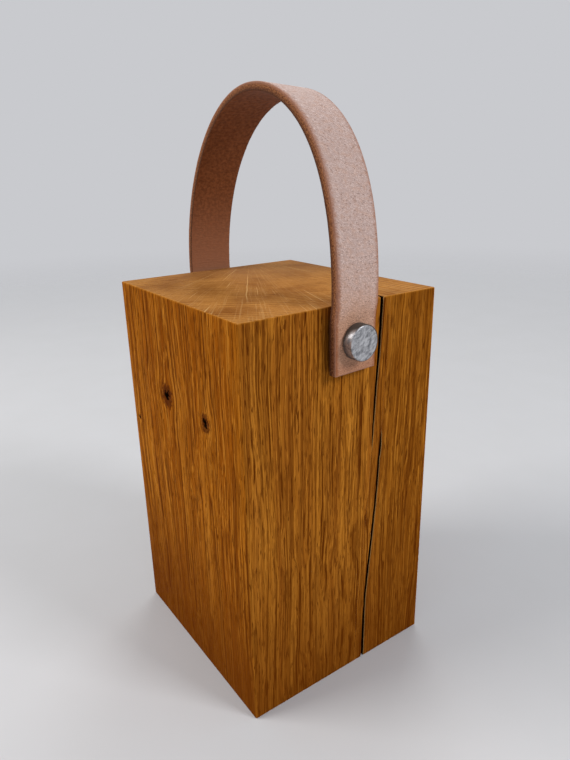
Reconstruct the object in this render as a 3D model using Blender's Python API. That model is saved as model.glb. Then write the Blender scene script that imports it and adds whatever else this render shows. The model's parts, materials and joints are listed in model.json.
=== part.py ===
"""Block door stop: a solid oak block lifted by a leather strap.

Each end of the strap hangs on a hanger bolt that is driven into the block. A spacer washer keeps the leather
off the wood, and a turned steel cap on the bolt's machine thread holds the strap on. The strap swings about
the line through the two bolts. The front bolt stands a little askew, and the strap is twisted to match.

Metres, +Z up. The origin is on the floor under the middle of the block. The bolts lie along X.
"""

import math

import bmesh
import bpy
from mathutils import Matrix, Vector

# The oak block
BLOCK_DEPTH = 0.119
BLOCK_WIDTH = 0.111
BLOCK_HEIGHT = 0.200
EDGE_EASE = 0.0006

# The drying crack in the +X face, in two lengths that overlap part of the way down
UPPER_CRACK_TOP_Y = 0.0208
UPPER_CRACK_TIP_Y = 0.0169
UPPER_CRACK_MOUTH = 0.0019
UPPER_CRACK_LENGTH = 0.073
LOWER_CRACK_BASE_Y = 0.0129
LOWER_CRACK_TIP_Y = 0.0229
LOWER_CRACK_MOUTH = 0.0014
CRACK_OVERLAP = 0.009
CRACK_TIP_MOUTH = 0.0002
CRACK_DEPTH_PER_MOUTH = 16
CRACK_LEAN = 0.11
CRACK_STATIONS = 9

# The leather strap
STRAP_WIDTH = 0.025
STRAP_THICK = 0.004
STRAP_SHIFT = 0.0005
STRAP_EDGE_EASE = 0.0008
STRAP_TAIL = 0.0142
STRAP_BULGE = 0.0011
ARCH_SPRING = 0.002
ARCH_RISE = 0.0872
ARCH_LEAN = 0.0048
LEAN_POWER = 1.7
SHOULDER_FULLNESS = 0.0018
ARCH_STATIONS = 40
LEG_STATIONS = 6

# The bolts, caps and spacer washers
STUD_DROP = 0.0155
BOLT_RADIUS = 0.0025
THREAD_DEPTH = 0.0004
MACHINE_PITCH = 0.0008
WOOD_PITCH = 0.0025
WOOD_THREAD_LENGTH = 0.030
BOLT_POINT = 0.006
CAP_RADIUS = 0.00815
CAP_THICK = 0.0054
CAP_BEVEL = 0.0005
CAP_BORE_DEPTH = 0.0040
WASHER_RADIUS = 0.0060
WASHER_THICK = 0.0007
STUD_TILT = math.radians(4)

# Fits. The strap turns on a stud that is askew, so it needs room at the washer and the cap.
SEAT_GAP = 0.00025
WOOD_GAP = 0.00045
WASHER_GAP = 0.00035
CAP_GAP = 0.00048
BOLT_CLEARANCE = 0.0003
CUT_MARGIN = 0.002

ROUND_STEPS = 48
BOLT_STEPS = 16
SMOOTH_ANGLE = math.radians(35)

# Places that follow from the sizes above
FACE_X = BLOCK_DEPTH / 2
STUD_Z = BLOCK_HEIGHT - STUD_DROP
WASHER_X = FACE_X + WOOD_GAP
STRAP_BACK_X = WASHER_X + WASHER_THICK + WASHER_GAP
STRAP_MIDDLE_X = STRAP_BACK_X + STRAP_THICK / 2
CAP_BACK_X = STRAP_BACK_X + STRAP_THICK + CAP_GAP
CAP_FACE_X = CAP_BACK_X + CAP_THICK
BOLT_END_X = CAP_BACK_X + CAP_BORE_DEPTH - SEAT_GAP
BOLT_ROOT_X = FACE_X - WOOD_THREAD_LENGTH
BORE_RADIUS = BOLT_RADIUS + BOLT_CLEARANCE
SPRING_Z = BLOCK_HEIGHT + ARCH_SPRING
CROWN_Z = SPRING_Z + ARCH_RISE
SIDES = {"front": 1, "rear": -1}
TILTS = {"front": STUD_TILT, "rear": 0.0}

OAK = ("oiled_oak", (0.36, 0.155, 0.036), 0.50, 0.0)
LEATHER = ("veg_tan_leather", (0.52, 0.30, 0.21), 0.65, 0.0)
STEEL = ("brushed_steel", (0.62, 0.61, 0.59), 0.34, 1.0)
ZINC = ("zinc_plated_steel", (0.55, 0.56, 0.57), 0.42, 1.0)


def clear_scene():
    for old in list(bpy.data.objects):
        bpy.data.objects.remove(old, do_unlink=True)


def finish_material(finish):
    """One material for each finish, shared by the pieces that have it."""
    name, colour, roughness, metallic = finish
    material = bpy.data.materials.get(name)
    if material is None:
        material = bpy.data.materials.new(name)
        material.use_nodes = True
        shader = material.node_tree.nodes["Principled BSDF"]
        shader.inputs["Base Color"].default_value = (*colour, 1.0)
        shader.inputs["Roughness"].default_value = roughness
        shader.inputs["Metallic"].default_value = metallic
    return material


def place(name, shape, finish, at=(0.0, 0.0, 0.0)):
    """Turns a bmesh into a named object at a place, shaded smooth up to the sharp edges."""
    bmesh.ops.recalc_face_normals(shape, faces=shape.faces)
    mesh = bpy.data.meshes.new(name)
    shape.to_mesh(mesh)
    shape.free()
    mesh.shade_smooth()
    mesh.set_sharp_from_angle(angle=SMOOTH_ANGLE)
    mesh.materials.append(finish_material(finish))
    piece = bpy.data.objects.new(name, mesh)
    piece.location = at
    bpy.context.scene.collection.objects.link(piece)
    return piece


def turned(profile, steps, closed=False):
    """A profile of (x, radius) points turned about the X axis. A closed profile makes a ring."""
    shape = bmesh.new()
    points = [shape.verts.new((x, 0.0, radius)) for x, radius in profile]
    pairs = list(zip(points, points[1:]))
    if closed:
        pairs.append((points[-1], points[0]))
    edges = [shape.edges.new(pair) for pair in pairs]
    bmesh.ops.spin(
        shape,
        geom=points + edges,
        cent=(0.0, 0.0, 0.0),
        axis=(1.0, 0.0, 0.0),
        angle=math.tau,
        steps=steps,
        use_merge=True,
    )
    bmesh.ops.remove_doubles(shape, verts=shape.verts, dist=1e-6)
    return shape


def on_side(shape, side):
    """Puts a shape made for the +X side on its own side of the block, as askew as that side's stud."""
    to_strap = Matrix.Translation((STRAP_MIDDLE_X, 0.0, 0.0))
    askew = to_strap @ Matrix.Rotation(TILTS[side], 4, "Z") @ to_strap.inverted()
    shape.transform(Matrix.Diagonal((SIDES[side], 1.0, 1.0, 1.0)) @ askew)
    return shape


def cut(piece, name, shape, at=(0.0, 0.0, 0.0)):
    """Takes a shape out of a piece with a Boolean, and leaves the cutter as a hidden helper."""
    cutter = place(name, shape, OAK, at)
    cutter.hide_render = True
    cutter.display_type = "WIRE"
    boolean = piece.modifiers.new(name, "BOOLEAN")
    boolean.operation = "DIFFERENCE"
    boolean.solver = "EXACT"
    boolean.object = cutter


def bore(start_x, end_x):
    """A round cutter along X for a bolt's hole."""
    return turned([(start_x, 0.0), (start_x, BORE_RADIUS), (end_x, BORE_RADIUS), (end_x, 0.0)], ROUND_STEPS)


def crack_wedge(open_z, open_y, tip_z, tip_y, mouth):
    """A thin wedge that runs past an open end of the block, gets shallow and narrow, and ends at its tip."""
    shape = bmesh.new()
    rings = []
    past_end = math.copysign(CUT_MARGIN, open_z - tip_z)
    for i in range(CRACK_STATIONS):
        along = i / (CRACK_STATIONS - 1)
        z = tip_z + (open_z + past_end - tip_z) * along
        middle = tip_y + (open_y - tip_y) * along
        width = CRACK_TIP_MOUTH + (mouth - CRACK_TIP_MOUTH) * math.sin(along * math.pi / 2)
        depth = width * CRACK_DEPTH_PER_MOUTH
        outside = width / 2 * (1 + CUT_MARGIN / depth)
        outer_y = middle - CRACK_LEAN * CUT_MARGIN
        root = (FACE_X - depth, middle + CRACK_LEAN * depth, z)
        left = (FACE_X + CUT_MARGIN, outer_y - outside, z)
        right = (FACE_X + CUT_MARGIN, outer_y + outside, z)
        rings.append([shape.verts.new(point) for point in (root, left, right)])
    for low, high in zip(rings, rings[1:]):
        for k in range(3):
            shape.faces.new((low[k], low[(k + 1) % 3], high[(k + 1) % 3], high[k]))
    shape.faces.new(rings[0])
    shape.faces.new(rings[-1])
    return shape


def make_block():
    """The oak block with eased edges, its drying crack and a blind hole for each bolt."""
    shape = bmesh.new()
    bmesh.ops.create_cube(shape, size=1.0)
    shape.transform(Matrix.Diagonal((BLOCK_DEPTH, BLOCK_WIDTH, BLOCK_HEIGHT, 1.0)))
    shape.transform(Matrix.Translation((0.0, 0.0, BLOCK_HEIGHT / 2)))
    block = place("oak_block", shape, OAK)
    ease = block.modifiers.new("eased_edges", "BEVEL")
    ease.width = EDGE_EASE
    ease.segments = 2
    upper_tip = BLOCK_HEIGHT - UPPER_CRACK_LENGTH
    upper = crack_wedge(BLOCK_HEIGHT, UPPER_CRACK_TOP_Y, upper_tip, UPPER_CRACK_TIP_Y, UPPER_CRACK_MOUTH)
    cut(block, "upper_crack", upper)
    lower_tip = upper_tip + CRACK_OVERLAP
    lower = crack_wedge(0.0, LOWER_CRACK_BASE_Y, lower_tip, LOWER_CRACK_TIP_Y, LOWER_CRACK_MOUTH)
    cut(block, "lower_crack", lower)
    for side in SIDES:
        hole = bore(BOLT_ROOT_X - BOLT_CLEARANCE, FACE_X + CUT_MARGIN)
        cut(block, f"bolt_hole_{side}", on_side(hole, side), (0.0, 0.0, STUD_Z))


def leaned(x, z):
    """The strap's middle line leans a little towards the front as it rises."""
    share = max(0.0, (z - STUD_Z) / (CROWN_Z - STUD_Z))
    return Vector((x + ARCH_LEAN * share**LEAN_POWER, z))


def arch_point(angle, half_span):
    """A point (x, z) of the arch, which is half an ellipse with a fuller shoulder at the front."""
    cosine, sine = math.cos(angle), math.sin(angle)
    point = Vector((half_span * cosine, SPRING_Z + ARCH_RISE * sine))
    if cosine > 0:
        out = Vector((ARCH_RISE * cosine, half_span * sine)).normalized()
        point += out * SHOULDER_FULLNESS * math.sin(2 * angle) ** 2
    return point


def strap_line():
    """Points (x, z) along the middle of the strap: up the front leg, over the arch and down the rear leg."""
    clamp_top = STUD_Z + CAP_RADIUS
    half_span = STRAP_MIDDLE_X + STRAP_BULGE
    leg = [Vector((STRAP_MIDDLE_X, STUD_Z - STRAP_TAIL)), Vector((STRAP_MIDDLE_X, STUD_Z))]
    for i in range(LEG_STATIONS):
        share = i / LEG_STATIONS
        swell = share * share * (3 - 2 * share)
        leg.append(Vector((STRAP_MIDDLE_X + STRAP_BULGE * swell, clamp_top + (SPRING_Z - clamp_top) * share)))
    arch = [arch_point(math.pi * i / ARCH_STATIONS, half_span) for i in range(ARCH_STATIONS + 1)]
    other_leg = [Vector((-point.x, point.y)) for point in reversed(leg)]
    straight = len(leg) - LEG_STATIONS + 1
    line = leg + arch + other_leg
    bent = [leaned(*point) for point in line[straight:-straight]]
    return line[:straight] + bent + line[-straight:]


def strap_section():
    """The strap's section as (across, out) points: a flat bar with its four long edges eased."""
    half, thick, ease = STRAP_WIDTH / 2, STRAP_THICK / 2, STRAP_EDGE_EASE
    corner = [(half, thick - ease), (half - ease, thick)]
    top = corner + [(-across, out) for across, out in reversed(corner)]
    return top + [(-across, -out) for across, out in top]


def twist_at(x):
    """The strap's twist: as askew as the front stud up to the crown, then less and less towards the rear."""
    share = min(1.0, max(0.0, 1.0 + x / STRAP_MIDDLE_X))
    return STUD_TILT * share * share * (3 - 2 * share)


def make_strap():
    """The leather strap, swept along its arch, with a hole for the bolt at each end."""
    line = strap_line()
    shape = bmesh.new()
    rings = []
    for i, point in enumerate(line):
        before, after = line[max(i - 1, 0)], line[min(i + 1, len(line) - 1)]
        along = (after - before).normalized()
        out = Vector((along.y, -along.x))
        cosine, sine = math.cos(twist_at(point.x)), math.sin(twist_at(point.x))
        ring = []
        for across, lift in strap_section():
            spot = point + out * (lift * cosine - across * sine)
            spot_y = STRAP_SHIFT + across * cosine + lift * sine
            ring.append(shape.verts.new((spot.x, spot_y, spot.y - STUD_Z)))
        rings.append(ring)
    for low, high in zip(rings, rings[1:]):
        for k in range(len(low)):
            shape.faces.new((low[k - 1], low[k], high[k], high[k - 1]))
    shape.faces.new(rings[0])
    shape.faces.new(rings[-1])
    strap = place("leather_strap", shape, LEATHER, (0.0, 0.0, STUD_Z))
    for side in SIDES:
        hole = bore(STRAP_BACK_X - CUT_MARGIN, CAP_BACK_X + CUT_MARGIN)
        cut(strap, f"strap_hole_{side}", on_side(hole, side), (0.0, 0.0, STUD_Z))


def thread(start_x, end_x, pitch, radius):
    """Thread crests and roots from start to end, drawn as rings."""
    turns = max(1, round((end_x - start_x) / pitch))
    step = (end_x - start_x) / turns
    points = []
    for i in range(turns):
        points.append((start_x + step * i, radius - THREAD_DEPTH))
        points.append((start_x + step * (i + 0.5), radius))
    points.append((end_x, radius - THREAD_DEPTH))
    return points


def make_bolt(side):
    """A hanger bolt: a pointed wood thread in the block and a machine thread that the cap screws on to."""
    profile = [(BOLT_ROOT_X, 0.0)]
    profile += thread(BOLT_ROOT_X + BOLT_POINT, FACE_X, WOOD_PITCH, BOLT_RADIUS)
    profile += thread(FACE_X + SEAT_GAP, BOLT_END_X, MACHINE_PITCH, BOLT_RADIUS)
    profile.append((BOLT_END_X, 0.0))
    place(f"hanger_bolt_{side}", on_side(turned(profile, BOLT_STEPS), side), ZINC, (0.0, 0.0, STUD_Z))


def make_washer(side):
    """The flat spacer washer that keeps the strap off the wood."""
    back, front = WASHER_X, WASHER_X + WASHER_THICK
    profile = [(back, BORE_RADIUS), (back, WASHER_RADIUS), (front, WASHER_RADIUS), (front, BORE_RADIUS)]
    ring = turned(profile, ROUND_STEPS, closed=True)
    place(f"spacer_washer_{side}", on_side(ring, side), ZINC, (0.0, 0.0, STUD_Z))


def make_cap(side):
    """The turned steel cap: a flat round head with a blind bore for the bolt."""
    bore_end = CAP_BACK_X + CAP_BORE_DEPTH
    profile = [
        (bore_end, 0.0),
        (bore_end, BORE_RADIUS),
        (CAP_BACK_X, BORE_RADIUS),
        (CAP_BACK_X, CAP_RADIUS - CAP_BEVEL),
        (CAP_BACK_X + CAP_BEVEL, CAP_RADIUS),
        (CAP_FACE_X - CAP_BEVEL, CAP_RADIUS),
        (CAP_FACE_X, CAP_RADIUS - CAP_BEVEL),
        (CAP_FACE_X, 0.0),
    ]
    place(f"stud_cap_{side}", on_side(turned(profile, ROUND_STEPS), side), STEEL, (0.0, 0.0, STUD_Z))


def main():
    clear_scene()
    make_block()
    make_strap()
    for side in SIDES:
        make_bolt(side)
        make_washer(side)
        make_cap(side)


main()
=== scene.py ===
# %% [markdown]
# # A block door stop: oiled oak, strap leather and turned steel
#
# This lesson dresses a plain construction model. The model already has the right sizes: an oak block, a
# leather strap that swings on two bolts, and two steel caps. Here each of them gets its surface.
#
# Everything is in metres with +Z up. The origin is on the floor under the middle of the block. The two
# bolts lie along X, and the face with the drying crack looks towards +X.

# %% Load the construction model
import json
import math
import random
from functools import partialmethod

import bmesh
import bpy
from mathutils import Matrix, Vector, noise


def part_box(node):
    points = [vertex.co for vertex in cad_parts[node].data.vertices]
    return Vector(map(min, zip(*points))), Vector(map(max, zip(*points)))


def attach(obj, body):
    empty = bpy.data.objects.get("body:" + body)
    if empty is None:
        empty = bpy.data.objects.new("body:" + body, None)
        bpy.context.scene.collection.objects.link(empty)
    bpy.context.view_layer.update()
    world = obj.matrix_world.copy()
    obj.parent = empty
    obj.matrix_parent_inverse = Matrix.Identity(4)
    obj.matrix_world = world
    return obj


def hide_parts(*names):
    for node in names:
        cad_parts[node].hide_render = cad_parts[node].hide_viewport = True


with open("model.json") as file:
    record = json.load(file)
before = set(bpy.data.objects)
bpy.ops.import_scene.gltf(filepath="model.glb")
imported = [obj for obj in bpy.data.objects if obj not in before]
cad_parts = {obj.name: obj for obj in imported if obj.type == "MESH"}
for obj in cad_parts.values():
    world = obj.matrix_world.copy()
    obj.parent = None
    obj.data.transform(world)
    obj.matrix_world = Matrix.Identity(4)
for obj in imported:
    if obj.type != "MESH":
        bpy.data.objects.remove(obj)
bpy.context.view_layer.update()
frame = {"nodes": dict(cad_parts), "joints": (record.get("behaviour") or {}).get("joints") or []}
MM = 0.001
print("nodes:", ", ".join(sorted(frame["nodes"])))

# %% [markdown]
# ## Where the pieces meet
#
# The looks have to sit on the construction, so the main places are read from it and not typed in again:
# the block's faces, the height of the bolts, the caps and the back of the strap. The front stud stands a
# few degrees askew, as a hole drilled by hand does, so the caps and washers are measured on the straight
# rear one.

# %% Read the main places from the frame
_, block_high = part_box("oak_block")
strap_low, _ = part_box("leather_strap")
cap_low, cap_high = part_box("stud_cap_rear")
washer_low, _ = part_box("spacer_washer_rear")
HALF_DEPTH = block_high.x
HALF_WIDTH = block_high.y
BLOCK_TOP = block_high.z
STRAP_END = strap_low.z
BOLT_HEIGHT = frame["joints"][0]["pos_m"][2]
STRAP_WIDTH = 25 * MM
STRAP_THICK = 4 * MM
STRAP_SHIFT = 0.5 * MM
STRAP_CLEAR = 0.35 * MM
STRAP_BACK = STRAP_CLEAR - washer_low.x
STRAP_MIDDLE = STRAP_BACK + STRAP_THICK / 2
CAP_RADIUS = (cap_high.y - cap_low.y) / 2
CAP_BACK, CAP_FACE = -cap_high.x, -cap_low.x
SIDES = {"front": 1, "rear": -1}
STUD_TILT = {"front": math.radians(4), "rear": 0.0}
print(f"block {2 * HALF_DEPTH / MM:.0f} x {2 * HALF_WIDTH / MM:.0f} x {BLOCK_TOP / MM:.0f} mm, "
      f"bolts at {BOLT_HEIGHT / MM:.1f} mm")

# %% [markdown]
# ## The camera
#
# The block is a box, so its seven visible corners are enough to work out where the picture was taken
# from. The values below are that place, the heading, the downward tilt, a small roll and the lens. A
# camera in Blender looks along its own -Z axis, with +Y up, so the three axes are built first and put
# into a matrix as columns.

# %% Place the camera
EYE = Vector((0.2594, -0.1732, 0.2587))
HEADING = math.radians(145.1)
LOOK_DOWN = math.radians(19.51)
ROLL = math.radians(-1.28)
LENS_MM = 29.31
SENSOR_MM = 36
NEAREST_SEEN = 0.01

forward = Vector((
    math.cos(LOOK_DOWN) * math.cos(HEADING),
    math.cos(LOOK_DOWN) * math.sin(HEADING),
    -math.sin(LOOK_DOWN),
))
level_right = forward.cross(Vector((0, 0, 1))).normalized()
level_up = level_right.cross(forward)
right = math.cos(ROLL) * level_right + math.sin(ROLL) * level_up
up = math.cos(ROLL) * level_up - math.sin(ROLL) * level_right
camera_data = bpy.data.cameras.new("camera")
camera_data.lens = LENS_MM
camera_data.sensor_width = SENSOR_MM
camera_data.clip_start = NEAREST_SEEN
camera = bpy.data.objects.new("camera", camera_data)
camera.matrix_world = Matrix.Translation(EYE) @ Matrix((right, up, -forward)).transposed().to_4x4()
bpy.context.scene.collection.objects.link(camera)
bpy.context.scene.camera = camera
print(f"camera {EYE.length:.2f} m from the origin, lens {LENS_MM} mm")

# %% [markdown]
# ## A short way to write shader nodes
#
# A procedural material is a graph of small nodes. Written out in full, each node takes four or five
# lines, and the idea gets lost. This little class adds one node in a call and gives back its output, so a
# formula can be read as a formula.

# %% A helper that adds nodes and joins them
class Graph:
    def __init__(self, tree):
        self.tree = tree

    def feed(self, socket, source):
        """Links another node's output to a socket, or sets a plain value."""
        if isinstance(source, bpy.types.NodeSocket):
            self.tree.links.new(source, socket)
        elif source is not None:
            socket.default_value = source

    def wire(self, node, **inputs):
        """Feeds the inputs of a node by name, with an underscore for each space."""
        for name, source in inputs.items():
            self.feed(node.inputs[name.replace("_", " ")], source)

    def add(self, kind, settings=None, **inputs):
        node = self.tree.nodes.new("ShaderNode" + kind)
        for name, value in (settings or {}).items():
            setattr(node, name, value)
        self.wire(node, **inputs)
        return node

    def work(self, kind, operation, values):
        node = self.add(kind, {"operation": operation})
        for socket, value in zip(node.inputs, values):
            self.feed(socket, value)
        return node.outputs

    def math(self, operation, *values):
        return self.work("Math", operation, values)[0]

    def vector(self, operation, *values):
        return self.work("VectorMath", operation, values)["Value" if operation == "LENGTH" else "Vector"]

    times = partialmethod(math, "MULTIPLY")
    over = partialmethod(math, "DIVIDE")
    plus = partialmethod(math, "ADD")
    minus = partialmethod(math, "SUBTRACT")
    most = partialmethod(math, "MAXIMUM")
    size = partialmethod(math, "ABSOLUTE")
    scaled = partialmethod(vector, "MULTIPLY")
    length = partialmethod(vector, "LENGTH")

    def millimetres(self):
        """The place on the piece in millimetres."""
        return self.scaled(self.add("TexCoord").outputs["Object"], (1000, 1000, 1000))

    def smooth(self, value, start, end):
        """0 at the start and 1 at the end, with a soft step between them."""
        step = {"interpolation_type": "SMOOTHSTEP"}
        return self.add("MapRange", step, Value=value, From_Min=start, From_Max=end).outputs["Result"]

    def spread(self, value, low, high):
        """Stretches 0 to 1 to the range from low to high."""
        return self.add("MapRange", Value=value, To_Min=low, To_Max=high).outputs["Result"]

    def join(self, x, y, z):
        return self.add("CombineXYZ", X=x, Y=y, Z=z).outputs["Vector"]

    def split(self, vector):
        return self.add("SeparateXYZ", Vector=vector).outputs

    def noise(self, vector, detail=2.0, roughness=0.5, output="Fac"):
        node = self.add("TexNoise", Vector=vector, Scale=1.0, Detail=detail, Roughness=roughness)
        return node.outputs[output]

    def mix(self, factor, first, second):
        node = self.add("Mix", {"data_type": "RGBA"})
        for index, source in ((0, factor), (6, first), (7, second)):
            self.feed(node.inputs[index], source)
        return node.outputs[2]

    def tint(self, base, tone, mask, share):
        """Lays a tone over a base colour where the mask is, at most as strong as the share."""
        return self.mix(self.times(mask, share), base, tone)

    def ramp(self, value, stops):
        node = self.add("ValToRGB", Fac=value)
        points = node.color_ramp.elements
        while len(points) < len(stops):
            points.new(1.0)
        for point, (position, colour) in zip(points, stops):
            point.position = position
            point.color = colour
        return node.outputs["Color"]

    def group(self, shared, **inputs):
        return self.add("Group", {"node_tree": shared}, **inputs).outputs[0]

    def bump(self, shader, height, strength, distance):
        node = self.add("Bump", Strength=strength, Distance=distance, Height=height)
        self.wire(shader, Normal=node.outputs["Normal"])


def srgb(red, green, blue):
    """A colour as seen on a screen, 0 to 255, as the linear values that shaders use."""
    def linear(value):
        value /= 255
        return value / 12.92 if value <= 0.04045 else ((value + 0.055) / 1.055) ** 2.4
    return (linear(red), linear(green), linear(blue), 1.0)


def new_material(name):
    material = bpy.data.materials.new(name)
    material.use_nodes = True
    shader = material.node_tree.nodes["Principled BSDF"]
    return material, Graph(material.node_tree), shader


print("helpers ready")

# %% [markdown]
# ## Three effects that the finishes share
#
# Wood, leather and steel all have streaks (wood fibres, the fibres of a cut leather edge, scratches), and
# a soft mottle. Leather and metal also have small pits (hair pores, dents). Each effect is built once as
# a node group with sizes in millimetres, and each material places it with its own values.

# %% Build the shared node groups
def new_group(name, inputs):
    group = bpy.data.node_groups.new(name, "ShaderNodeTree")
    new_socket = group.interface.new_socket
    new_socket("Value", in_out="OUTPUT", socket_type="NodeSocketFloat")
    new_socket("Vector", in_out="INPUT", socket_type="NodeSocketVector")
    for label, value in inputs.items():
        new_socket(label, in_out="INPUT", socket_type="NodeSocketFloat").default_value = value
    graph = Graph(group)
    start = group.nodes.new("NodeGroupInput").outputs
    end = group.nodes.new("NodeGroupOutput").inputs
    return group, graph, start, end


def make_streaks():
    """Long thin noise: Width across and Length along the third axis."""
    group, g, start, end = new_group("streaks", {"Width": 1.0, "Length": 20.0})
    across, along = g.over(1.0, start["Width"]), g.over(1.0, start["Length"])
    stretched = g.scaled(start["Vector"], g.join(across, across, along))
    g.feed(end["Value"], g.noise(stretched, detail=1.5))
    return group


def by_size(g, start):
    """The place, counted in steps of the group's Size."""
    size = g.over(1.0, start["Size"])
    return g.scaled(start["Vector"], g.join(size, size, size))


def make_mottle():
    """Soft patches of about the given Size."""
    group, g, start, end = new_group("mottle", {"Size": 10.0})
    g.feed(end["Value"], g.noise(by_size(g, start), detail=4.0, roughness=0.6))
    return group


def make_pits():
    """Small round pits, one to a cell of about the given Size. Share is how many cells have one."""
    group, g, start, end = new_group("pits", {"Size": 1.0, "Share": 0.5})
    cells = g.add("TexVoronoi", Vector=by_size(g, start), Scale=1.0)
    spot = g.smooth(cells.outputs["Distance"], 0.42, 0.12)
    chosen = g.math("LESS_THAN", g.split(cells.outputs["Color"])[0], start["Share"])
    g.feed(end["Value"], g.times(spot, chosen))
    return group


STREAKS, MOTTLE, PITS = make_streaks(), make_mottle(), make_pits()


def streaks(g, place, width, length, low, high):
    """A mask of streaks, 0 where their noise is below low and 1 where it is above high."""
    return g.smooth(g.group(STREAKS, Vector=place, Width=width, Length=length), low, high)


print("groups:", STREAKS.name, MOTTLE.name, PITS.name)

# %% [markdown]
# ## The drying crack
#
# Drying wood shrinks more around the rings than across them, so a block splits from the outside towards
# the pith. Here the split is in two lengths that overlap half way down. Each length is a short list of
# places. Between two places the values run straight, and a little noise makes the line shiver.

# %% Describe the crack
# Each place is (height, distance across the face, width) in millimetres.
UPPER_CRACK = (
    (201, 20.8, 1.60), (188, 20.3, 1.60), (172, 19.6, 1.40), (159, 18.6, 1.20), (146, 17.9, 1.00),
    (136, 17.4, 0.70), (129, 17.1, 0.40), (124, 17.0, 0.0),
)
LOWER_CRACK = (
    (134, 23.0, 0.0), (131, 22.9, 0.60), (126, 22.7, 1.20), (121, 22.3, 1.20), (119, 21.8, 1.10),
    (105, 21.2, 1.20), (103, 21.3, 0.80), (101, 20.9, 1.15), (91, 20.0, 1.25), (79, 18.9, 1.30),
    (62, 17.1, 1.30), (40, 14.9, 1.35), (34, 14.7, 1.00), (28, 14.4, 1.45), (-1, 13.9, 1.60),
)
CRACK_APART = 5.6 * MM
CRACK_DEPTH_PER_WIDTH = 16
CRACK_SHIVER = 0.16 * MM
SHIVER_LENGTH = 4 * MM
CLOSED_WIDTH = 0.02 * MM
PITH = Vector((-78 * MM, 36 * MM))


def along_crack(places, z):
    """How far across the face a crack is at a height, and how wide, or None above and below it."""
    for (z1, y1, w1), (z2, y2, w2) in zip(places, places[1:]):
        if z1 * MM >= z >= z2 * MM:
            share = (z1 * MM - z) / ((z1 - z2) * MM)
            return (y1 + (y2 - y1) * share) * MM, (w1 + (w2 - w1) * share) * MM
    return None


def cracks_at(z):
    """(place across, width) of both lengths at a height. A length that isn't there is closed."""
    upper, lower = along_crack(UPPER_CRACK, z), along_crack(LOWER_CRACK, z)
    if upper is None:
        upper = (lower[0] - CRACK_APART, 0.0)
    if lower is None:
        lower = (upper[0] + CRACK_APART, 0.0)
    made = []
    for seed, (across, width) in enumerate((upper, lower)):
        shiver = noise.noise((seed * 7.3, 0.0, z / SHIVER_LENGTH)) * CRACK_SHIVER
        made.append((across + shiver, max(width, CLOSED_WIDTH)))
    return made


print("crack widths at the top in mm:", [round(w / MM, 2) for _, w in cracks_at(BLOCK_TOP)])

# %% [markdown]
# ## The oak block
#
# The block is stacked from many level outlines, like the slices of a loaf. Each slice is the same rounded
# rectangle with two notches in the +X side, and the notches move and change width from slice to slice.
# That gives a crack with soft lips that can wander, and eased edges all round. The faces inside the
# notches are marked, so that they can have their own finish: wood painted near black as painted shade,
# with a pale painted highlight on the lips.

# %% Stack the block from outlines
EDGE_EASE = 0.6 * MM
EASE_STEPS = 4
LIP = 0.35 * MM
LIP_FLARE = 0.7
# Each step of the taper is (share of the crack's depth, share of its width that is left there).
CRACK_TAPER = ((0.35, 0.62), (1.0, 0.05))
SIDE_STEPS = 14
SLICE = 1.6 * MM
SHARP_CORNER = math.radians(38)


def straight(start, end, steps):
    """Points from start up to, but not including, end."""
    return [start + (end - start) * (i / steps) for i in range(steps)]


def notch(across, width, face):
    """The outline of one notch from lip to root and back, in order of rising y."""
    depth = max(width * CRACK_DEPTH_PER_WIDTH, LIP)
    lip = min(LIP, width)
    inward = (PITH - Vector((face, across))).normalized()
    sides = []
    for side in (-1, 1):
        wall = [Vector((face, across + side * (width / 2 + lip * LIP_FLARE)))]
        for reach, share in ((lip / depth, 1.0), *CRACK_TAPER):
            wall.append(Vector((face, across + side * width / 2 * share)) + inward * depth * reach)
        sides.append(wall)
    return sides[0] + sides[1][::-1]


def outline(z):
    """The block's outline at a height, counterclockwise from above, and which of its points are crack."""
    reach = min(z, BLOCK_TOP - z)
    short = max(0.0, EDGE_EASE - reach)
    inset = EDGE_EASE - math.sqrt(max(0.0, EDGE_EASE**2 - short**2))
    half_x, half_y = HALF_DEPTH - inset, HALF_WIDTH - inset
    points, in_crack = [Vector((half_x, -half_y + EDGE_EASE))], [False]
    for across, width in cracks_at(z):
        cut = notch(across, width, half_x)
        points += straight(points[-1], cut[0], SIDE_STEPS)[1:] + cut
        in_crack += [False] * (SIDE_STEPS - 1) + [True] * (len(cut) - 1) + [False]
    points += straight(points[-1], Vector((half_x, half_y - EDGE_EASE)), SIDE_STEPS)[1:]
    in_crack += [False] * (SIDE_STEPS - 1)
    for quarter in range(4):
        turn = Matrix.Rotation(quarter * math.pi / 2, 2)
        wide, far = (half_x, half_y) if quarter % 2 == 0 else (half_y, half_x)
        middle = Vector((wide - EDGE_EASE, far - EDGE_EASE))
        for step in range(EASE_STEPS + 1):
            angle = math.pi / 2 * step / EASE_STEPS
            points.append(turn @ (middle + Vector((math.cos(angle), math.sin(angle))) * EDGE_EASE))
        if quarter < 3:
            corner = turn @ Vector((-(wide - EDGE_EASE), far))
            points += straight(points[-1], corner, SIDE_STEPS)[1:]
            in_crack += [False] * (SIDE_STEPS - 1)
        in_crack += [False] * (EASE_STEPS + 1)
    return points, in_crack


def slice_heights():
    """Heights of the slices, close together at the two eased ends."""
    eased = [EDGE_EASE * (1 - math.cos(math.pi / 2 * i / EASE_STEPS)) for i in range(EASE_STEPS)]
    count = round((BLOCK_TOP - 2 * EDGE_EASE) / SLICE)
    middle = [EDGE_EASE + (BLOCK_TOP - 2 * EDGE_EASE) * i / count for i in range(count + 1)]
    return eased + middle + [BLOCK_TOP - z for z in reversed(eased)]


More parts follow.
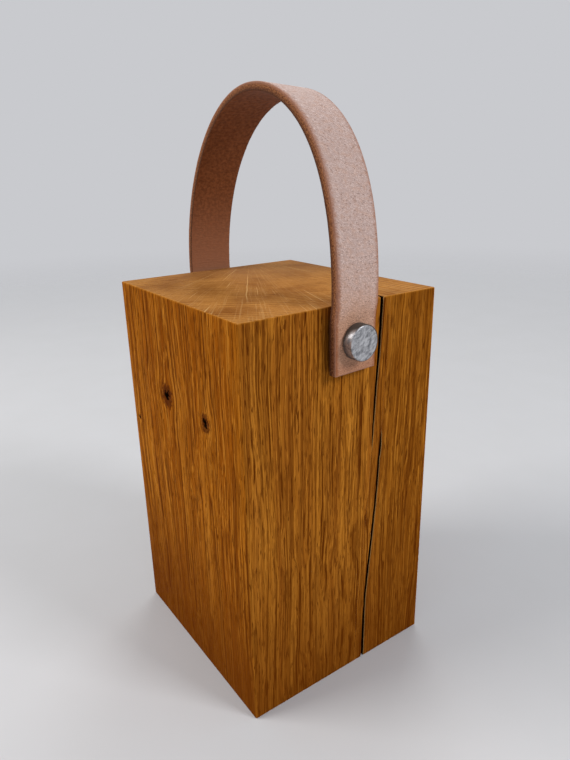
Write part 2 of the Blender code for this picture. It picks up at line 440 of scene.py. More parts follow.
def link_mesh(name, shape):
    """Turns a bmesh into a smooth shaded object with sharp corners kept and its faces turned outward."""
    shape.normal_update()
    bmesh.ops.recalc_face_normals(shape, faces=shape.faces)
    mesh = bpy.data.meshes.new(name)
    shape.to_mesh(mesh)
    shape.free()
    mesh.shade_smooth()
    mesh.set_sharp_from_angle(angle=SHARP_CORNER)
    piece = bpy.data.objects.new(name, mesh)
    bpy.context.scene.collection.objects.link(piece)
    return piece


def stack_block():
    """Joins the slices. They all have the same number of points, in the crack and out of it."""
    shape = bmesh.new()
    rings = []
    for z in slice_heights():
        points, in_crack = outline(z)
        rings.append([shape.verts.new((point.x, point.y, z)) for point in points])
    for low, high in zip(rings, rings[1:]):
        for k in range(len(low)):
            after = (k + 1) % len(low)
            face = shape.faces.new((low[k], low[after], high[after], high[k]))
            face.material_index = int(in_crack[k])
    shape.faces.new(rings[0])
    shape.faces.new(rings[-1])
    return link_mesh("oak_block_body", shape)


block = stack_block()
print("block:", len(block.data.vertices), "points in", len(slice_heights()), "slices")

# %% [markdown]
# ## Cutting holes
#
# The bolts need holes in the block and in the strap, and the knots have small ragged hollows. A Boolean
# cuts them. The modifier is evaluated at once and its result kept, so no cutter is left behind in the
# scene. The faces of a cutter have to look outward, or it takes nothing away. Mirroring turns them
# inward, so link_mesh turns them all outward again.

# %% A helper that cuts a shape out of a piece
def cut_away(piece, cutter):
    """Cuts the cutter's shape out of a piece and removes the cutter."""
    modifier = piece.modifiers.new("cut", "BOOLEAN")
    modifier.operation = "DIFFERENCE"
    modifier.solver = "EXACT"
    modifier.object = cutter
    evaluated = piece.evaluated_get(bpy.context.evaluated_depsgraph_get())
    result = bpy.data.meshes.new_from_object(evaluated)
    piece.modifiers.remove(modifier)
    old = piece.data
    piece.data = result
    bpy.data.meshes.remove(old)
    bpy.data.objects.remove(cutter, do_unlink=True)


def turned(name, profile, steps, side):
    """A profile of (x, radius) points turned about X and put on its side, as askew as that side's stud."""
    shape = bmesh.new()
    points = [shape.verts.new((x, 0.0, radius)) for x, radius in profile]
    edges = [shape.edges.new(pair) for pair in zip(points, points[1:])]
    bmesh.ops.spin(shape, geom=points + edges, cent=(0, 0, 0), axis=(1, 0, 0), angle=math.tau, steps=steps,
                   use_merge=True)
    bmesh.ops.remove_doubles(shape, verts=shape.verts, dist=1e-7)
    to_strap = Matrix.Translation((STRAP_MIDDLE, 0, 0))
    askew = to_strap @ Matrix.Rotation(STUD_TILT[side], 4, "Z") @ to_strap.inverted()
    mirror = Matrix.Diagonal((SIDES[side], 1, 1, 1))
    shape.transform(Matrix.Translation((0, 0, BOLT_HEIGHT)) @ mirror @ askew)
    return link_mesh(name, shape)


HOLE_RADIUS = 2.8 * MM
HOLE_STEPS = 32
BOLT_REACH = 30.3 * MM


def drill(piece, start, end, side):
    """Cuts a bolt hole from start to end along X, on one side."""
    rod = [(start, 0.0), (start, HOLE_RADIUS), (end, HOLE_RADIUS), (end, 0.0)]
    cut_away(piece, turned("drill", rod, HOLE_STEPS, side))


for side in SIDES:
    drill(block, HALF_DEPTH - BOLT_REACH, HALF_DEPTH + MM, side)
print("block with bolt holes:", len(block.data.polygons), "faces")

# %% [markdown]
# ## Knots
#
# Three small knots show on the -Y face. A knot is the foot of a twig: a dark plug that the grain flows
# around, often with a ragged hollow in its heart. The hollows are cut here with a cone whose outline is a
# ragged star. The dark plug and the flowing grain come with the finish, from the same list.

# %% Cut the knots' hollows
# Each knot is (x, z, half its width, half its height) in millimetres.
KNOTS = {
    "large": (-13.0, 148.7, 4.6, 5.2),
    "middle": (26.8, 147.0, 3.1, 3.6),
    "small": (-53.3, 123.8, 1.1, 1.3),
}
HOLLOW_SHARE = 0.36
HOLLOW_DEPTH = 2.2 * MM
HOLLOW_POINTS = 20
HOLLOW_SPREAD = 1.3
HOLLOW_ABOVE = 0.4 * MM


def hollow_cone(knot, seed):
    """A cone with a ragged rim just above the -Y face and its tip in the wood."""
    x, z, half_width, half_height = (value * MM for value in knot)
    shape = bmesh.new()
    tip = shape.verts.new((x, -HALF_WIDTH + HOLLOW_DEPTH, z))
    rim = []
    for i in range(HOLLOW_POINTS):
        angle = math.tau * i / HOLLOW_POINTS
        ragged = 0.75 + 0.55 * noise.noise((math.cos(angle) * 2 + seed, math.sin(angle) * 2, 0.5))
        ragged += 0.3 * max(0.0, math.cos(2.5 * angle + seed))
        rim.append(shape.verts.new((
            x + math.cos(angle) * half_width * HOLLOW_SHARE * ragged * HOLLOW_SPREAD,
            -HALF_WIDTH - HOLLOW_ABOVE,
            z + math.sin(angle) * half_height * HOLLOW_SHARE * ragged * HOLLOW_SPREAD,
        )))
    for i in range(HOLLOW_POINTS):
        shape.faces.new((rim[i], rim[(i + 1) % HOLLOW_POINTS], tip))
    shape.faces.new(rim)
    return link_mesh("hollow", shape)


for seed, knot in enumerate(KNOTS.values()):
    cut_away(block, hollow_cone(knot, seed * 3.7))
print("knots:", ", ".join(KNOTS))

# %% [markdown]
# ## Oiled oak
#
# A picture of wood on each side would not join at the corners. A solid texture does: every point asks how
# far it is from the pith of the tree, and that gives the growth rings. The same rings are stripes on the
# sides and arcs on the end. Oak has wide pores in the wood of each spring, which the saw cuts into long
# soft lines, fine lines and short dark dashes, and pale rays that run out from the pith. The end grain is
# found from the surface's own direction. So are the two pairs of upright faces, which meet the rings at
# different angles and differ a little in hue: the faces along Y are redder and those along X yellower,
# partly from the grain and partly as painted light. Towards the floor the wood is painted darker, as
# painted shade. The edges get a pale band that is partly wear and partly a painted highlight, and the
# wood under the strap is painted darker, as painted shade for the gap behind it.

# %% Make the oak finish
RING_WIDTH = 2.9
RING_DRIFT = 2.2
GRAIN_TILT = 0.02
GRAIN_WANDER = 10
GRAIN_RIPPLE = 1.3
DARK_SIDE = (14.0, 34.0)
FOOT_SHADE = (110.0, 0.0)
HEARTWOOD = (95.0, 45.0)
OAK_DARK = srgb(128, 70, 9)
OAK_MIDDLE = srgb(175, 107, 25)
OAK_LIGHT = srgb(208, 136, 46)
OAK_LINE = srgb(92, 42, 5)
OAK_PORE = srgb(84, 36, 5)
# Partly wear, partly a painted highlight: the pale band along the block's edges.
OAK_EDGE_WEAR_AND_HIGHLIGHT = srgb(206, 132, 42)
OAK_RED = srgb(146, 78, 11)
# Partly grain, partly painted light: the hues of the faces along Y and of those along X.
OAK_Y_FACE_GRAIN_AND_LIGHT = srgb(140, 66, 4)
OAK_X_FACE_GRAIN_AND_LIGHT = srgb(176, 112, 48)
# Painted shade: the colour the block darkens to towards the floor.
OAK_FOOT_PAINTED_SHADE = srgb(104, 50, 4)
# Painted light in the crack: a pale highlight on its lips and near black shade inside.
CRACK_LIP_HIGHLIGHT = srgb(206, 158, 98)
CRACK_SHADE_DARK = srgb(8, 5, 3)
CRACK_SHADE_BROWN = srgb(26, 14, 7)
OAK_SHINE = 0.002
END_LIGHT = srgb(190, 132, 68)
END_DARK = srgb(130, 77, 33)
END_RAY = srgb(226, 182, 120)
END_HEART = srgb(138, 98, 64)
KNOT_BROWN = srgb(78, 34, 8)
KNOT_BLACK = srgb(16, 7, 2)
# Painted shade for the gap under the strap, and how strongly it is laid on.
STRAP_GAP_PAINTED_SHADE = srgb(56, 28, 7)
STRAP_GAP_SHADE_SHARE = 0.65
KNOT_DEEP = 14.0
KNOT_CRUMBLE = 2.4
WORN_EDGE = 1.0
RAY_RADIUS = 105.0


def knots_in(g, x, y, z):
    """How far the grain is pushed aside by the knots, and masks of their brown plugs and black hearts."""
    push, brown, black = 0.0, 0.0, 0.0
    crumble = g.group(MOTTLE, Vector=g.join(x, y, z), Size=2.0)
    near_face = g.smooth(y, -HALF_WIDTH / MM + KNOT_DEEP, -HALF_WIDTH / MM + KNOT_DEEP / 4)
    for knot_x, knot_z, half_width, half_height in KNOTS.values():
        over = g.over(g.minus(x, knot_x), half_width)
        along = g.over(g.minus(z, knot_z), half_height)
        squared = g.plus(g.times(over, over), g.times(along, along))
        aside = g.over(g.times(over, half_width), g.most(squared, 1.0))
        push = g.minus(push, g.times(aside, near_face))
        ragged = g.plus(g.math("SQRT", squared), g.times(g.minus(crumble, 0.5), KNOT_CRUMBLE))
        brown = g.most(brown, g.times(g.smooth(ragged, 1.55, 0.95), near_face))
        black = g.most(black, g.times(g.smooth(ragged, 0.62, 0.45), near_face))
    return push, brown, black


def near_edges(g, x, y, z):
    """A mask that is 1 on the block's upright and top edges, where two of its faces meet."""
    near_x = g.smooth(g.size(x), HALF_DEPTH / MM - WORN_EDGE, HALF_DEPTH / MM)
    near_y = g.smooth(g.size(y), HALF_WIDTH / MM - WORN_EDGE, HALF_WIDTH / MM)
    near_z = g.smooth(z, BLOCK_TOP / MM - WORN_EDGE, BLOCK_TOP / MM)
    pairs = [g.times(a, b) for a, b in ((near_x, near_y), (near_y, near_z), (near_z, near_x))]
    return g.most(g.most(*pairs[:2]), pairs[2])


def under_strap(g, x, y, z):
    """A soft, blotchy mask of the wood that the strap covers, painted darker there as shade of the gap."""
    half, fade, uneven = STRAP_WIDTH / 2 / MM, 1.6, 3.0
    blot = g.group(MOTTLE, Vector=g.join(x, y, g.times(z, 0.4)), Size=4.0)
    blot = g.times(g.minus(blot, 0.5), uneven)
    from_middle = g.size(g.minus(y, STRAP_SHIFT / MM))
    beside = g.smooth(g.plus(from_middle, blot), half + 0.2 * fade, half - 1.8 * fade)
    above_end = g.smooth(g.plus(z, blot), STRAP_END / MM, STRAP_END / MM + 3 * fade)
    on_face = g.math("GREATER_THAN", g.size(x), HALF_DEPTH / MM - 0.5)
    return g.times(g.times(beside, above_end), on_face)


def rays_of(g, x, y, z, bend):
    """Straight pale lines that fan out from the pith."""
    from_x, from_y = g.minus(x, PITH.x / MM), g.minus(y, PITH.y / MM)
    angle = g.plus(g.math("ARCTAN2", from_y, from_x), g.times(bend, 0.02))
    out = g.length(g.join(from_x, from_y, 0.0))
    fan = g.join(g.times(angle, RAY_RADIUS), g.over(z, 9.0), out)
    bold = streaks(g, fan, 1.0, 60.0, 0.65, 0.73)
    faint = streaks(g, fan, 0.55, 35.0, 0.55, 0.70)
    return g.most(bold, g.times(faint, 0.28))


def sway(g, place, width, length, reach):
    """Soft noise of a given width and length, and how far it moves the grain sideways."""
    cloud = g.noise(g.scaled(place, (1 / width, 1 / width, 1 / length)), output="Color")
    from_middle = g.vector("SUBTRACT", cloud, (0.5, 0.5, 0.5))
    return cloud, g.scaled(from_middle, (reach, reach, 0))


def make_oak():
    material, g, shader = new_material("oiled_oak")
    place = g.millimetres()
    x, y, z = g.split(place)
    slow, wander = sway(g, place, 38, 140, GRAIN_WANDER)
    _, ripple = sway(g, place, 5, 18, GRAIN_RIPPLE)
    grain_x, grain_y, _ = g.split(g.vector("ADD", g.vector("ADD", place, wander), ripple))
    push, knot_brown, knot_black = knots_in(g, x, y, z)
    flow = g.join(g.plus(grain_x, push), g.minus(grain_y, g.times(z, GRAIN_TILT)), z)
    from_pith = g.vector("SUBTRACT", flow, (PITH.x / MM, PITH.y / MM, 0))
    radius = g.length(g.scaled(from_pith, (1, 1, 0)))
    years = g.noise(g.join(g.over(radius, 13.0), 0.0, 0.0), detail=1.0)
    season = g.math("FRACT", g.plus(g.over(radius, RING_WIDTH), g.times(years, RING_DRIFT)))
    spring = g.times(g.smooth(season, 0.0, 0.08), g.smooth(season, 0.60, 0.16))

    shifted = g.vector("ADD", flow, (31, 17, 5))
    long_lines = streaks(g, flow, 1.2, 150.0, 0.50, 0.61)
    fine_lines = streaks(g, shifted, 0.55, 45.0, 0.50, 0.62)
    pores = streaks(g, flow, 0.45, 8.0, 0.58, 0.65)
    pale_fibres = streaks(g, shifted, 0.8, 60.0, 0.52, 0.62)
    bands = g.group(STREAKS, Vector=flow, Width=3.2, Length=220.0)
    patches = g.group(MOTTLE, Vector=g.scaled(place, (1, 1, 0.3)), Size=26.0)
    lines = g.most(g.times(long_lines, g.spread(spring, 0.60, 0.95)), g.times(fine_lines, 0.45))
    tone = g.plus(g.times(bands, 0.6), g.times(patches, 0.4))
    side = g.ramp(tone, ((0.32, OAK_DARK), (0.50, OAK_MIDDLE), (0.68, OAK_LIGHT)))
    broad = g.group(STREAKS, Vector=shifted, Width=13.0, Length=500.0)
    side = g.tint(side, OAK_RED, g.smooth(broad, 0.42, 0.60), 0.55)
    _, normal_y, normal_z = g.split(g.add("TexCoord").outputs["Normal"])
    # The faces along Y are tinted redder and those along X yellower: partly the grain, partly painted
    # light.
    y_facing = g.smooth(g.size(normal_y), 0.3, 0.9)
    side = g.mix(g.spread(y_facing, 0.25, 0.34), side, g.mix(y_facing, OAK_X_FACE_GRAIN_AND_LIGHT, OAK_Y_FACE_GRAIN_AND_LIGHT))
    side = g.tint(side, OAK_DARK, g.smooth(y, *DARK_SIDE), 0.60)
    side = g.tint(side, OAK_DARK, spring, 0.22)
    side = g.tint(side, OAK_LIGHT, pale_fibres, 0.50)
    side = g.mix(lines, side, OAK_LINE)
    side = g.tint(side, OAK_PORE, pores, 0.80)
    # Painted shade: the block is darkened towards the floor, more on the faces along Y.
    painted_foot_shade = g.times(g.smooth(z, *FOOT_SHADE), g.spread(y_facing, 0.58, 0.78))
    side = g.mix(painted_foot_shade, side, OAK_FOOT_PAINTED_SHADE)

    rays = rays_of(g, x, y, z, g.split(slow)[1])
    end_patches = g.smooth(patches, 0.36, 0.80)
    end_tone = g.plus(g.times(spring, 0.45), g.times(end_patches, 0.85))
    end = g.mix(end_tone, END_LIGHT, END_DARK)
    end = g.tint(end, OAK_DARK, lines, 0.35)
    end = g.tint(end, END_HEART, g.smooth(radius, *HEARTWOOD), 0.40)
    end = g.tint(end, END_RAY, rays, 0.60)
    end_grain = g.smooth(g.size(normal_z), 0.45, 0.8)
    colour = g.mix(end_grain, side, end)
    # A pale band along the edges, partly wear and partly a painted highlight.
    worn = g.times(near_edges(g, x, y, z), g.smooth(pores, 0.9, 0.1))
    colour = g.tint(colour, OAK_EDGE_WEAR_AND_HIGHLIGHT, worn, 0.34)
    colour = g.tint(colour, KNOT_BROWN, knot_brown, 0.85)
    colour = g.mix(knot_black, colour, KNOT_BLACK)
    # Painted shade: the wood under the strap is darkened to stand for the shadow in the gap behind it.
    colour = g.tint(colour, STRAP_GAP_PAINTED_SHADE, under_strap(g, x, y, z), STRAP_GAP_SHADE_SHARE)
    rough = g.spread(g.most(pores, knot_black), 0.42, 0.75)
    g.wire(shader, Base_Color=colour, Specular_IOR_Level=OAK_SHINE, Roughness=rough)
    height = g.minus(g.times(pale_fibres, 0.3), g.most(lines, pores))
    g.bump(shader, height, strength=0.5, distance=0.14 * MM)
    return material


def make_torn_oak():
    """The wood inside the crack, painted near black as painted shade, with a pale painted highlight on its
    lips.
    """
    material, g, shader = new_material("torn_oak_painted_shade_and_highlight")
    place = g.millimetres()
    fibres = g.group(STREAKS, Vector=place, Width=0.6, Length=12.0)
    # Painted light: the lips are pale as a painted highlight and the walls near black as painted shade.
    lip = g.smooth(g.split(place)[0], (HALF_DEPTH - LIP) / MM - 0.1, HALF_DEPTH / MM - 0.05)
    torn = g.ramp(fibres, ((0.35, CRACK_SHADE_DARK), (0.65, CRACK_SHADE_BROWN)))
    g.wire(shader, Base_Color=g.mix(lip, torn, CRACK_LIP_HIGHLIGHT), Roughness=0.85, Specular_IOR_Level=OAK_SHINE)
    g.bump(shader, fibres, strength=0.6, distance=0.3 * MM)
    return material


def dress(piece, body, slot, *materials):
    """Gives a piece its materials and the body it moves with. The slot is not used."""
    for material in materials:
        piece.data.materials.append(material)
    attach(piece, body)


dress(block, "block", "oak", make_oak(), make_torn_oak())
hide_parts("oak_block")
crack_faces = sum(face.material_index == 1 for face in block.data.polygons)
print("oak finish: rings", RING_WIDTH, "mm wide,", crack_faces, "faces of torn wood")

# %% [markdown]
# ## The leather strap
#
# The strap is thick, firm leather. It stands up by its own stiffness in an arch that is half an ellipse
# with a fuller shoulder at the front. It leans a little, it is twisted by the askew front stud, and it
# has been cut with a knife, so its sides are flat and a little rough. The shape is one section carried
# along that arch. Each point remembers where it is on the strap (along, across and through), because the
# smooth grain side, the cut sides and the rough flesh side are different finishes of one piece.

# %% Sweep the strap along its arch
STRAP_BULGE = 1.1 * MM
SPRING_Z = BLOCK_TOP + 2 * MM
ARCH_RISE = 87.2 * MM
CROWN_Z = SPRING_Z + ARCH_RISE
ARCH_LEAN = 4.8 * MM
LEAN_POWER = 1.7
SHOULDER_FULLNESS = 1.8 * MM
CLAMP_TOP = BOLT_HEIGHT + 8 * MM
ARCH_STEPS = 120
LEG_STEPS = 8
TAIL_STEPS = 10
GRAIN_ROUND = 0.9 * MM
FLESH_ROUND = 0.4 * MM
ROUND_STEPS = 4
FLAT_STEPS = 12
KNIFE_ROUGH = 0.10 * MM
KNIFE_FRAY = 0.07 * MM
EDGE_ROOM = 0.12 * MM


def ease(share):
    """0 to 1 with a soft start and end."""
    return share * share * (3 - 2 * share)


def leaned(x, z):
    """A point (x, z) with the strap's lean, which grows from the clamped ends to the crown."""
    share = max(0.0, (z - CLAMP_TOP) / (CROWN_Z - CLAMP_TOP))
    return Vector((x + ARCH_LEAN * share**LEAN_POWER, z))


def arch_point(angle, half_span):
    """A point (x, z) of the arch, which is half an ellipse with a fuller shoulder at the front."""
    cosine, sine = math.cos(angle), math.sin(angle)
    point = Vector((half_span * cosine, SPRING_Z + ARCH_RISE * sine))
    if cosine > 0:
        out = Vector((ARCH_RISE * cosine, half_span * sine)).normalized()
        point += out * SHOULDER_FULLNESS * math.sin(2 * angle) ** 2
    return point


def strap_line():
    """Points (x, z) along the middle of the strap, from the front end over the top to the rear end."""
    tail = (CLAMP_TOP - STRAP_END) / TAIL_STEPS
    leg = [Vector((STRAP_MIDDLE, STRAP_END + tail * i)) for i in range(TAIL_STEPS)]
    for i in range(LEG_STEPS):
        share = i / LEG_STEPS
        bulge = STRAP_BULGE * ease(share)
        leg.append(Vector((STRAP_MIDDLE + bulge, CLAMP_TOP + (SPRING_Z - CLAMP_TOP) * share)))
    half_span = STRAP_MIDDLE + STRAP_BULGE
    arch = [arch_point(math.pi * i / ARCH_STEPS, half_span) for i in range(ARCH_STEPS + 1)]
    other = [Vector((-point.x, point.y)) for point in reversed(leg)]
    return [leaned(*point) for point in leg + arch + other]


def strap_section():
    """(across, through) points of the section, both from -1 to 1, with softly rounded long edges."""
    half, thick = STRAP_WIDTH / 2, STRAP_THICK / 2
    arcs = []
    for radius, sign in ((GRAIN_ROUND, 1), (FLESH_ROUND, -1)):
        arc = []
        for i in range(ROUND_STEPS + 1):
            angle = math.pi / 2 * i / ROUND_STEPS
            lift = thick - radius + radius * math.sin(angle)
            arc.append((half - radius + radius * math.cos(angle), sign * lift))
        arcs.append(arc)
    grain_arc, flesh_arc = arcs
    flat = [(half - GRAIN_ROUND) * (1 - 2 * i / FLAT_STEPS) for i in range(1, FLAT_STEPS)]
    side = [(half, thick * share) for share in (0.3, 0.0, -0.4)]
    right_side = flesh_arc[::-1] + side[::-1] + grain_arc
    left_side = [(-across, through) for across, through in right_side[::-1]]
    points = right_side + [(across, thick) for across in flat] + left_side
    points += [(-across, -thick) for across in flat]
    return [(across / half, through / thick) for across, through in points]


def on_strap(point, out, across, lift):
    """The place of a point that lies across and lifted from the middle line, with the strap's twist."""
    share = min(1.0, max(0.0, 1 + point.x / STRAP_MIDDLE))
    twist = STUD_TILT["front"] * ease(share)
    flat = point + out * (lift * math.cos(twist) - across * math.sin(twist))
    return Vector((flat.x, STRAP_SHIFT + across * math.cos(twist) + lift * math.sin(twist), flat.y))


def heading_at(line, i):
    """The direction along the strap at one point of its line, and the direction out of its grain side."""
    heading = (line[min(i + 1, len(line) - 1)] - line[max(i - 1, 0)]).normalized()
    return heading, Vector((heading.y, -heading.x))


def sweep_strap():
    line = strap_line()
    section = strap_section()
    shape = bmesh.new()
    spot = shape.verts.layers.float_vector.new("strap_place")
    rings, along = [], 0.0
    for i, point in enumerate(line):
        _, out = heading_at(line, i)
        along += (point - line[i - 1]).length if i else 0.0
        ring = []
        for across, through in section:
            rough = noise.noise((across * 3, through * 2, along / (5 * MM))) * KNIFE_ROUGH
            fray = noise.noise((across * 9, through * 5, along / (1.3 * MM))) * KNIFE_FRAY
            side_push = (rough + fray) * abs(across) ** 8
            lift = through * STRAP_THICK / 2 + rough * (0.5 if through < 0 else 0.2)
            reach = across * (STRAP_WIDTH / 2 - EDGE_ROOM) + math.copysign(side_push, across)
            vert = shape.verts.new(on_strap(point, out, reach, lift))
            vert[spot] = (along / MM, across, through)
            ring.append(vert)
        rings.append(ring)
    for low, high in zip(rings, rings[1:]):
        for k in range(len(low)):
            shape.faces.new((low[k - 1], low[k], high[k], high[k - 1]))
    shape.faces.new(rings[0])
    shape.faces.new(rings[-1])
    return link_mesh("strap_leather", shape), along


strap, strap_length = sweep_strap()
for side in SIDES:
    drill(strap, STRAP_BACK - MM, STRAP_BACK + STRAP_THICK + MM, side)
print(f"strap: {strap_length / MM:.0f} mm of {STRAP_WIDTH / MM:.0f} x {STRAP_THICK / MM:.0f} mm leather")

# %% [markdown]
# ## Vegetable tanned leather
#
# The grain side is pinkish tan with fine pebbles and tiny dark hair pores, and it turns browner towards
# the cut edges and the handled ends. Its last few millimetres, just below the caps, are darker still, as
# a painted shadow of the caps. The cut sides show fibres in dark and pale flecks, darkest at the flesh
# corner. The flesh side is darker and velvety, and paler near its ends. The three are mixed by the
# place on the strap that every point carries.

# %% Make the leather finish
GRAIN_PALE = srgb(220, 194, 185)
GRAIN_TAN = srgb(219, 168, 137)
GRAIN_EDGE = srgb(154, 92, 56)
CUT_DEEP = srgb(62, 29, 11)
CUT_DARK = srgb(82, 42, 18)
CUT_MIDDLE = srgb(124, 72, 40)
CUT_PALE = srgb(166, 110, 66)
CUT_ROUNDED = srgb(172, 124, 102)
FLESH_DARK = srgb(102, 54, 22)
FLESH_PALE = srgb(132, 76, 40)
FLESH_NEAR_ENDS = srgb(166, 113, 84)
PORE_BROWN = srgb(128, 88, 70)


def make_leather():
    material, g, shader = new_material("strap_leather")
    strap_place = g.add("Attribute", {"attribute_name": "strap_place"})
    along, across, through = g.split(strap_place.outputs["Vector"])
    edge_share = g.size(across)
    deep = g.times(through, STRAP_THICK / 2 / MM)
    flat_place = g.join(along, g.times(across, STRAP_WIDTH / 2 / MM), deep)
    slant = g.plus(g.times(along, 1.35), g.times(across, 4.0))
    slanted = g.join(slant, g.times(across, 9.5), 0.0)
    from_end = g.math("MINIMUM", along, g.minus(strap_length / MM, along))

    pebble_cells = g.add("TexVoronoi", {"feature": "SMOOTH_F1"}, Vector=slanted, Scale=1.35, Smoothness=0.4)
    pebbles = g.smooth(pebble_cells.outputs["Distance"], 0.1, 0.7)
    crumple = g.group(MOTTLE, Vector=slanted, Size=2.6)
    patches = g.group(MOTTLE, Vector=flat_place, Size=16.0)
    pores = g.group(PITS, Vector=slanted, Size=1.1, Share=0.55)
    fibres = g.group(STREAKS, Vector=g.join(deep, across, along), Width=0.26, Length=0.8)
    nap = g.group(MOTTLE, Vector=flat_place, Size=1.8)

    worn_end = g.smooth(from_end, 60.0, 4.0)
    tan = g.plus(worn_end, g.times(g.minus(patches, 0.5), 0.7))
    grain = g.mix(g.smooth(tan, 0.0, 1.0), GRAIN_PALE, GRAIN_TAN)
    grain = g.tint(grain, GRAIN_TAN, g.smooth(crumple, 0.42, 0.68), 0.30)
    grain = g.tint(grain, PORE_BROWN, pebbles, 0.38)
    grain = g.tint(grain, PORE_BROWN, pores, 0.38)
    blurred_edge = g.plus(edge_share, g.times(g.minus(crumple, 0.5), 0.16))
    rim = g.times(g.smooth(blurred_edge, 0.78, 0.97), g.spread(worn_end, 0.55, 0.95))
    grain = g.mix(rim, grain, GRAIN_EDGE)
    # Painted shadow of the caps: the last few millimetres of each end are darkened.
    grain = g.tint(grain, GRAIN_EDGE, g.smooth(from_end, 9.0, 1.0), 0.50)
    cut = g.ramp(fibres, ((0.38, CUT_DARK), (0.50, CUT_MIDDLE), (0.64, CUT_PALE)))
    cut = g.tint(cut, CUT_DEEP, g.smooth(through, 0.2, -0.95), 0.85)
    cut = g.tint(cut, CUT_ROUNDED, g.smooth(through, 0.1, 1.0), 0.70)
    flesh = g.mix(g.smooth(nap, 0.3, 0.7), FLESH_DARK, FLESH_PALE)
    # The flesh side is paler towards both ends.
    flesh = g.tint(flesh, FLESH_NEAR_ENDS, g.smooth(from_end, 85.0, 25.0), 0.75)
    is_cut = g.smooth(edge_share, 0.955, 0.985)
    is_end = g.smooth(from_end, 0.5, 0.2)
    is_flesh = g.smooth(through, -0.90, -0.97)
    colour = g.mix(is_flesh, g.mix(g.most(is_cut, is_end), grain, cut), flesh)
    rough_side = g.most(is_cut, is_flesh)
    rough = g.spread(g.most(rough_side, crumple), 0.40, 0.86)
    g.wire(shader, Base_Color=colour, Roughness=rough)
    g.wire(shader, Specular_IOR_Level=0.15, Sheen_Weight=0.04, Sheen_Roughness=0.5)
    grain_height = g.minus(g.minus(g.times(crumple, 0.8), pebbles), pores)
    rough_height = g.plus(g.times(fibres, 1.5), g.times(nap, 0.6))
    on_grain = g.times(grain_height, g.minus(1.0, rough_side))
    height = g.plus(on_grain, g.times(rough_height, rough_side))
    g.bump(shader, height, strength=0.7, distance=0.25 * MM)
    return material


leather = make_leather()
dress(strap, "handle", "leather", leather)
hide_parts("leather_strap")
print("leather finish: grain, cut sides and flesh in one material")

# %% [markdown]
# ## Stray fibres
#
# A knife leaves stray fibres on the cut sides of thick leather. They are tiny, but they break the clean
# line of the edge against a pale background. Each one is a thin three sided spike that leans at random.
# They are one mesh and carry strap places too, so that they take the colour of the cut side.

# %% Scatter stray fibres along the cut sides
FIBRES = 320
FIBRE_LENGTH = (0.25 * MM, 0.8 * MM)
FIBRE_RADIUS = 0.05 * MM
FIBRE_SINK = 0.2 * MM
FIBRE_INSET = 0.97


def scatter_fibres():
    dice = random.Random(11)
    line = strap_line()
    shape = bmesh.new()
    spot = shape.verts.layers.float_vector.new("strap_place")
    step = strap_length / (len(line) - 1)
    for _ in range(FIBRES):
        i = dice.randrange(3, len(line) - 3)
        heading, out = heading_at(line, i)
        side = dice.choice((-1, 1))
        through = dice.choice((-1.0, -0.95, -0.8, 0.2))
        spread = line[i] + heading * dice.uniform(-0.5, 0.5) * step
        reach = side * (STRAP_WIDTH / 2 - FIBRE_SINK)
        root = on_strap(spread, out, reach, through * STRAP_THICK / 2 * FIBRE_INSET)
        droop = 0.6 if through < 0 else 0
        aim = Vector((
            -out.x * droop + heading.x * dice.uniform(-1, 1),
            side * dice.uniform(0.1, 0.9),
            -out.y * droop + heading.y * dice.uniform(-1, 1),
        )).normalized()
        tip = shape.verts.new(root + aim * dice.uniform(*FIBRE_LENGTH))
        base = []
        across_aim = aim.orthogonal().normalized()
        for turn in range(3):
            arm = Matrix.Rotation(turn * math.tau / 3, 3, aim) @ across_aim
            base.append(shape.verts.new(root + arm * FIBRE_RADIUS))
        for vert in base + [tip]:
            vert[spot] = (i * step / MM, side, 0.0)
        for k in range(3):
            shape.faces.new((base[k], base[(k + 1) % 3], tip))
        shape.faces.new(base)
    return link_mesh("strap_fibres", shape)


fibres = scatter_fibres()
dress(fibres, "handle", "leather", leather)
print("stray fibres:", FIBRES)

# %% [markdown]
# ## Turned steel caps
#
# The caps are short discs turned from steel bar. A lathe leaves a small bevel on the rim, which catches
# the light as a bright ring, and years of handling leave the face dull and scratched in several
# directions. The side stays duller and keeps the tool's fine rings. Its colour is darker and a little
# browner than the face: partly duller steel, partly a painted reflection of the leather. The construction
# has the plain disc, so a finer one with a rounded rim and a very slight hollow in its face takes its
# place.

# %% Turn the caps
CAP_BEVEL = 0.40 * MM
CAP_BORE = 4.0 * MM
CAP_STEPS = 96


def cap_profile():
    """(x, radius) points of half a cap, from its bore round the rim to the middle of its face."""
    bore_end = CAP_BACK + CAP_BORE
    points = [(bore_end, 0.0), (bore_end, HOLE_RADIUS), (CAP_BACK, HOLE_RADIUS)]
    back_ease = 0.3 * MM
    points += [(CAP_BACK, CAP_RADIUS - back_ease), (CAP_BACK + back_ease, CAP_RADIUS)]
    rim = [(0.0, 0.0), (0.12, 0.02), (0.85, 0.75), (0.97, 0.9), (1.0, 1.0)]
    shoulder = CAP_FACE - CAP_BEVEL
    points += [(shoulder + CAP_BEVEL * rise, CAP_RADIUS - CAP_BEVEL * pull) for rise, pull in rim]
    points += [(CAP_FACE - 0.02 * MM, CAP_RADIUS * share) for share in (0.86, 0.5, 0.2)]
    points.append((CAP_FACE - 0.03 * MM, 0.0))
    return points


STEEL_PALE = srgb(200, 200, 203)
STEEL_DULL = srgb(122, 123, 127)
# Partly duller steel, partly a painted reflection of the leather, for the caps' sides.
STEEL_SIDE_DULL_AND_REFLECTION = srgb(104, 95, 88)
SCRATCH_TURNS = (0.5, 2.3, 5.4)


